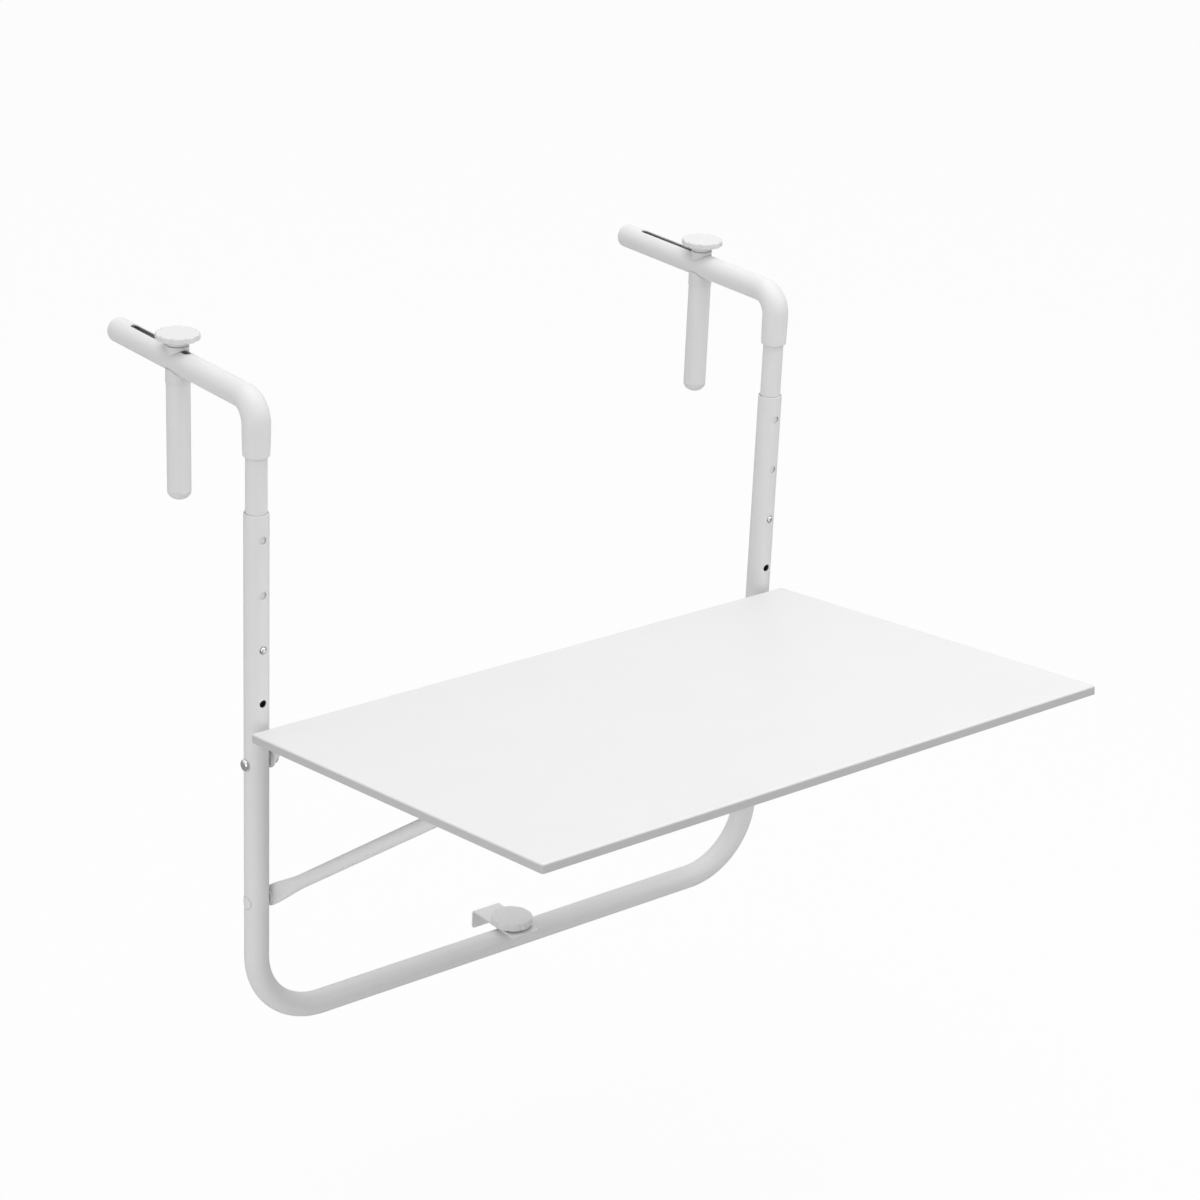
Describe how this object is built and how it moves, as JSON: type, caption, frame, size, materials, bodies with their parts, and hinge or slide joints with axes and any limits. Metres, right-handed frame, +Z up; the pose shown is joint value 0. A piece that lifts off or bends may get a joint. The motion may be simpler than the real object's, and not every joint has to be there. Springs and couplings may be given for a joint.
{
  "type": "balcony railing table",
  "caption": "White steel folding table that hangs on a balcony handrail by two height-adjustable hooks with sliding clamp pins and a fold-down top on a stay.",
  "frame": {"origin": "Midway between the hooks, on the post axes, level with the underside of the hook arms, where the top of the handrail touches them.", "axes": "+Z up, +Y from the seat side towards the railing, +X to the right as seen from the seat."},
  "size_m": [0.6062, 0.6515, 0.6227],
  "materials": {
    "white_steel": "powder coated, satin",
    "white_plastic": "moulded, satin",
    "bright_steel": "polished",
    "zinc_steel": "zinc plated",
    "spring_steel": "bare spring steel"
  },
  "bodies": {
    "frame": {"u_frame": "white_steel", "rail_rivnut": "zinc_steel", "hinge_bolts": "bright_steel", "hinge_locknuts": "zinc_steel", "hinge_washers": "white_plastic", "stay_rivets": "white_steel", "stay_washers": "white_plastic"},
    "left_hook": {"left_hook_tube": "white_steel", "left_inner_tube": "white_steel", "left_arm_plug": "white_plastic", "left_snap_leaf": "spring_steel"},
    "left_button": {"left_snap_button": "bright_steel"},
    "left_clamp": {"left_clamp_spacer": "white_plastic", "left_clamp_saddle": "white_plastic", "left_clamp_nut": "zinc_steel", "left_clamp_pin": "white_steel", "left_pin_cap": "white_plastic"},
    "left_knob": {"left_clamp_knob": "white_plastic", "left_clamp_stud": "zinc_steel"},
    "right_hook": {"right_hook_tube": "white_steel", "right_inner_tube": "white_steel", "right_arm_plug": "white_plastic", "right_snap_leaf": "spring_steel"},
    "right_button": {"right_snap_button": "bright_steel"},
    "right_clamp": {"right_clamp_spacer": "white_plastic", "right_clamp_saddle": "white_plastic", "right_clamp_nut": "zinc_steel", "right_clamp_pin": "white_steel", "right_pin_cap": "white_plastic"},
    "right_knob": {"right_clamp_knob": "white_plastic", "right_clamp_stud": "zinc_steel"},
    "top": {"top_panel": "white_steel", "left_hinge_ear": "white_steel", "right_hinge_ear": "white_steel", "catch_strip": "white_steel"},
    "stay": {"stay_tube": "white_steel"},
    "stop": {"stop_plate": "white_steel"},
    "stop_screw": {"stop_knob": "white_plastic", "stop_stud": "zinc_steel"}
  },
  "joints": [
    {"name": "left_hook_height", "type": "slide", "parent": "frame", "child": "left_hook", "axis": [0, 0, 1], "range_m": [-0.05, 0.1], "deforming": ["left_snap_button"]},
    {"name": "left_button_press", "type": "slide", "parent": "left_hook", "child": "left_button", "axis": [0, 1, 0], "range_m": [0, 0.003], "stiffness_N_per_m": 1500, "springref_m": -0.002, "deforming": ["left_snap_leaf"]},
    {"name": "left_clamp_slide", "type": "slide", "parent": "left_hook", "child": "left_clamp", "axis": [0, 1, 0], "range_m": [-0.015, 0.0715]},
    {"name": "left_knob_turn", "type": "hinge", "parent": "left_clamp", "child": "left_knob", "pos_m": [-0.2838, 0.123, 0.03], "axis": [0, 0, 1], "range_deg": [0, 540]},
    {"name": "right_hook_height", "type": "slide", "parent": "frame", "child": "right_hook", "axis": [0, 0, 1], "range_m": [-0.05, 0.1], "deforming": ["right_snap_button"]},
    {"name": "right_button_press", "type": "slide", "parent": "right_hook", "child": "right_button", "axis": [0, 1, 0], "range_m": [0, 0.003], "stiffness_N_per_m": 1500, "springref_m": -0.002, "deforming": ["right_snap_leaf"]},
    {"name": "right_clamp_slide", "type": "slide", "parent": "right_hook", "child": "right_clamp", "axis": [0, 1, 0], "range_m": [-0.0015, 0.085]},
    {"name": "right_knob_turn", "type": "hinge", "parent": "right_clamp", "child": "right_knob", "pos_m": [0.2838, 0.1095, 0.03], "axis": [0, 0, 1], "range_deg": [0, 540]},
    {"name": "top_fold", "type": "hinge", "parent": "frame", "child": "top", "pos_m": [0, 0, -0.3175], "axis": [1, 0, 0], "range_deg": [0, 92]},
    {"name": "stay_fold", "type": "hinge", "parent": "frame", "child": "stay", "pos_m": [0, 0, -0.4515], "axis": [1, 0, 0], "range_deg": [0, 115]},
    {"name": "stop_slide", "type": "slide", "parent": "frame", "child": "stop", "axis": [0, 1, 0], "range_m": [-0.025, 0.01]},
    {"name": "stop_knob_turn", "type": "hinge", "parent": "frame", "child": "stop_screw", "pos_m": [0, 0, -0.555], "axis": [0, 0, 1], "range_deg": [0, 540]}
  ],
  "couplings": [
    {"joint": "stay_fold", "follows": "top_fold", "ratio": 1.25}
  ]
}
